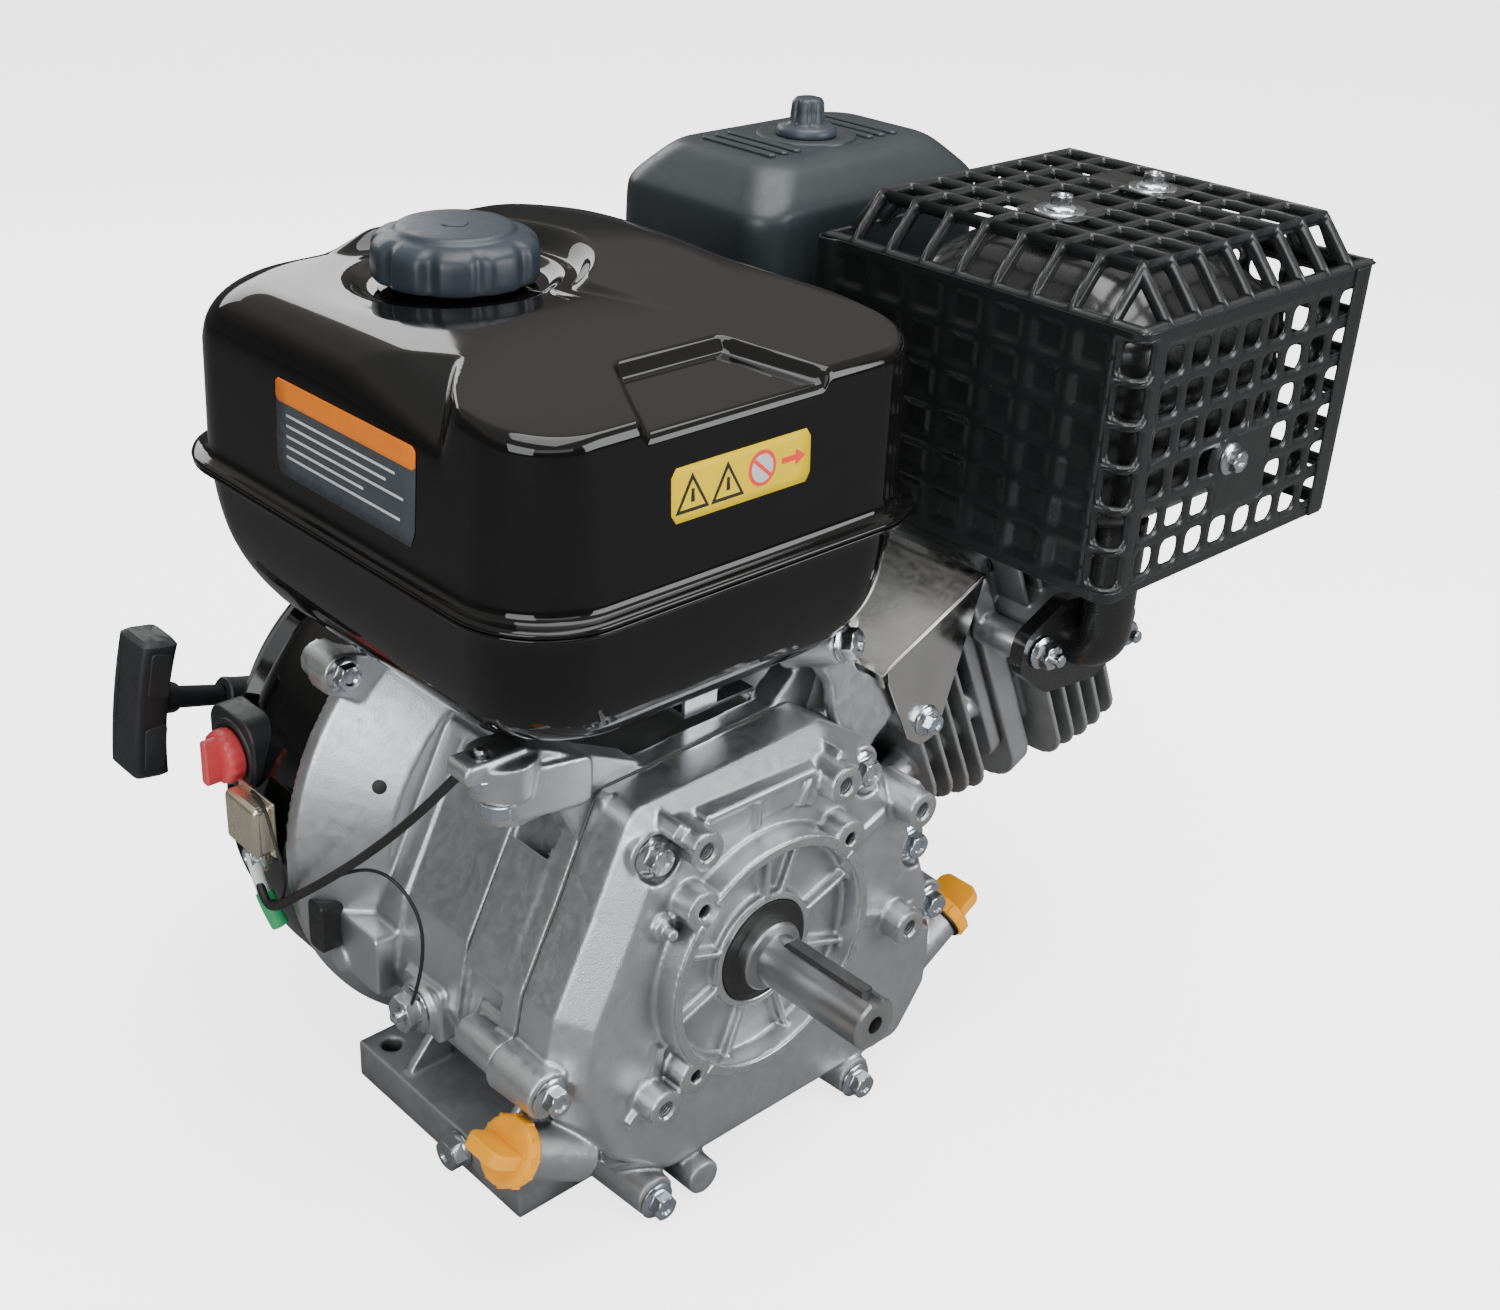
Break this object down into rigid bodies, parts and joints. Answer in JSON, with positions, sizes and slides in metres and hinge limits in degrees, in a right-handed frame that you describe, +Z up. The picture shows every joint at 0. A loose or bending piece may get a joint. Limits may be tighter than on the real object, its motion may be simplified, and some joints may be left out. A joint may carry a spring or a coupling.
{
  "type": "small gasoline engine",
  "caption": "Horizontal-shaft air-cooled gasoline engine with keyed output shaft, side-cover mounting flange, fuel tank, caged muffler, air cleaner and recoil starter.",
  "frame": {"origin": "crank axis where it meets the output flange face", "axes": "-Y along the output shaft away from the engine, +X towards the cylinder head and muffler, +Z up"},
  "size_m": [0.519, 0.3935, 0.458],
  "materials": {
    "cast_aluminium": "bead-blasted die casting, machined faces smoother",
    "machined_steel": "ground and turned steel",
    "zinc_steel": "bright zinc plate",
    "dark_steel": "black oxide",
    "gloss_black_paint": "gloss black enamel on stamped steel",
    "satin_black_paint": "satin heat-proof black",
    "stainless": "bright stainless sheet",
    "black_plastic": "fine matt grain",
    "blue_grey_plastic": "moulded, matt",
    "red_plastic": "satin moulded",
    "yellow_plastic": "satin moulded",
    "rubber_black": "matt",
    "gasket": "fibre sheet",
    "iron": "as cast and ground",
    "foam": "paper and foam element",
    "gold_zinc": "yellow passivated zinc",
    "rope": "braided cord"
  },
  "bodies": {
    "housing": {"air_cleaner_base": "black_plastic", "air_cleaner_cover": "black_plastic", "air_filter_element": "foam", "carb_insulator": "black_plastic", "carburetor": "cast_aluminium", "connecting_rod": "cast_aluminium", "control_bracket": "dark_steel", "crankcase": "cast_aluminium", "crankcase_cover": "cast_aluminium", "cylinder_head": "cast_aluminium", "drain_plugs": "zinc_steel", "exhaust_nuts": "zinc_steel", "exhaust_pipe": "satin_black_paint", "fan_cover": "gloss_black_paint", "flange_bolts": "zinc_steel", "fuel_strainer": "blue_grey_plastic", "fuel_tank_lower": "gloss_black_paint", "fuel_tank_upper": "gloss_black_paint", "gasket_set": "gasket", "head_bolts": "zinc_steel", "heat_shield": "stainless", "ignition_coil": "dark_steel", "main_bearings": "machined_steel", "muffler_body": "satin_black_paint", "muffler_guard": "satin_black_paint", "oil_alert_unit": "gold_zinc", "oil_level_switch": "zinc_steel", "oil_seals": "rubber_black", "piston": "cast_aluminium", "piston_pin": "machined_steel", "piston_rings": "machined_steel", "pushrods": "machined_steel", "recoil_housing": "gloss_black_paint", "rocker_arms": "machined_steel", "rocker_cover": "gloss_black_paint", "sheet_metal_screws": "zinc_steel", "spark_plug": "zinc_steel", "switch_housing": "black_plastic", "valve_lifters": "machined_steel", "valve_springs": "machined_steel", "valves": "machined_steel", "wiring": "rubber_black"},
    "crank": {"crankshaft": "machined_steel", "shaft_key": "dark_steel", "crank_gear": "machined_steel", "flywheel": "iron", "starter_cup": "dark_steel", "flywheel_nut": "zinc_steel"},
    "cam": {"camshaft": "iron"},
    "handle": {"starter_handle": "black_plastic", "starter_rope": "rope"},
    "reel": {"recoil_reel": "black_plastic"},
    "cap": {"fuel_cap": "blue_grey_plastic"},
    "switch": {"switch_knob": "red_plastic"},
    "choke": {"choke_lever": "black_plastic"},
    "fuel_valve": {"fuel_valve_lever": "black_plastic"},
    "throttle": {"throttle_lever": "zinc_steel"},
    "dipstick_l": {"dipstick_left": "yellow_plastic"},
    "dipstick_r": {"dipstick_right": "yellow_plastic"},
    "cleaner_knob": {"air_cleaner_knob": "black_plastic"}
  },
  "joints": [
    {"name": "crank_spin", "type": "hinge", "parent": "housing", "child": "crank", "pos_m": [0, 0, 0], "axis": [0, 1, 0], "continuous": true, "deforming": ["connecting_rod"]},
    {"name": "cam_spin", "type": "hinge", "parent": "housing", "child": "cam", "pos_m": [0.03794, 0.1, -0.05419], "axis": [0, 1, 0], "continuous": true},
    {"name": "starter_pull", "type": "slide", "parent": "housing", "child": "handle", "axis": [-0.9608, 0, 0.2772], "range_m": [0, 0.55]},
    {"name": "reel_turn", "type": "hinge", "parent": "housing", "child": "reel", "pos_m": [0, 0.298, 0], "axis": [0, 1, 0], "range_deg": [-610, 5]},
    {"name": "fuel_cap_turn", "type": "hinge", "parent": "housing", "child": "cap", "pos_m": [-0.037, 0.188, 0.29], "axis": [0, 0, 1], "range_deg": [0, 90]},
    {"name": "switch_turn", "type": "hinge", "parent": "housing", "child": "switch", "pos_m": [-0.14, 0.25, 0.042], "axis": [-1, 0, 0], "range_deg": [0, 70]},
    {"name": "choke_turn", "type": "hinge", "parent": "housing", "child": "choke", "pos_m": [0.22353, 0.222, 0.11533], "axis": [0, 0, 1], "range_deg": [0, 60]},
    {"name": "fuel_valve_turn", "type": "hinge", "parent": "housing", "child": "fuel_valve", "pos_m": [0.18153, 0.21, 0.06533], "axis": [1, 0, 0], "range_deg": [0, 90]},
    {"name": "throttle_turn", "type": "hinge", "parent": "housing", "child": "throttle", "pos_m": [0.03, 0.084, 0.099], "axis": [0, 0, 1], "range_deg": [-35, 0]},
    {"name": "dipstick_left_turn", "type": "hinge", "parent": "housing", "child": "dipstick_l", "pos_m": [-0.107, 0.027, -0.075], "axis": [-0.8571, 0, 0.5151], "range_deg": [0, 360]},
    {"name": "dipstick_right_turn", "type": "hinge", "parent": "housing", "child": "dipstick_r", "pos_m": [0.14, 0.027, -0.067], "axis": [0.8571, 0, 0.5151], "range_deg": [0, 360]},
    {"name": "cleaner_knob_turn", "type": "hinge", "parent": "housing", "child": "cleaner_knob", "pos_m": [0.215, 0.221, 0.306], "axis": [0, 0, 1], "range_deg": [0, 360]}
  ],
  "couplings": [
    {"joint": "cam_spin", "follows": "crank_spin", "ratio": -0.5},
    {"joint": "reel_turn", "follows": "starter_pull", "rad_per_m": -18.692}
  ]
}
